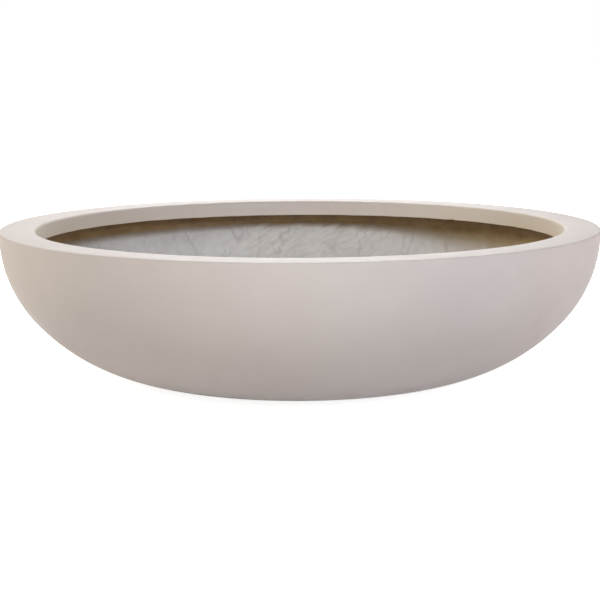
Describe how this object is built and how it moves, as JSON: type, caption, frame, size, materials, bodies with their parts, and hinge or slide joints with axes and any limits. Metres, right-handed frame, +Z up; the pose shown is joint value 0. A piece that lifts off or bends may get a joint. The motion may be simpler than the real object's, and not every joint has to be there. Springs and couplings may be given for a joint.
{
  "type": "bowl planter",
  "caption": "Wide shallow fibreglass bowl planter with a flat channel rim, a drop lip inside it, a rough hand-laid lining and rubber-plugged drain holes in its flat base.",
  "frame": {"origin": "centre of the flat base, on the floor that it stands on", "axes": "+Z up along the bowl's axis; X and Y level, with drain holes on both"},
  "size_m": [1, 1, 0.25],
  "materials": {
    "stone_paint": "matte warm stone-grey paint on moulded fibreglass",
    "bond_paste": "cured brown bonding paste",
    "grey_laminate": "rough grey hand-laid fibreglass",
    "bare_laminate": "bare brown fibreglass laminate",
    "black_rubber": "matte moulded rubber"
  },
  "bodies": {
    "bowl": {"bowl_shell": "stone_paint", "rim_ring": "stone_paint", "rim_bond": "bond_paste", "inner_lining": "grey_laminate", "base_doubler": "bare_laminate"},
    "plug_1": {"drain_plug_1": "black_rubber"},
    "plug_2": {"drain_plug_2": "black_rubber"},
    "plug_3": {"drain_plug_3": "black_rubber"},
    "plug_4": {"drain_plug_4": "black_rubber"}
  },
  "joints": [
    {"name": "plug_1_pull", "type": "slide", "parent": "bowl", "child": "plug_1", "axis": [0, 0, 1], "range_m": [0, 0.26]},
    {"name": "plug_2_pull", "type": "slide", "parent": "bowl", "child": "plug_2", "axis": [0, 0, 1], "range_m": [0, 0.26]},
    {"name": "plug_3_pull", "type": "slide", "parent": "bowl", "child": "plug_3", "axis": [0, 0, 1], "range_m": [0, 0.26]},
    {"name": "plug_4_pull", "type": "slide", "parent": "bowl", "child": "plug_4", "axis": [0, 0, 1], "range_m": [0, 0.26]}
  ]
}
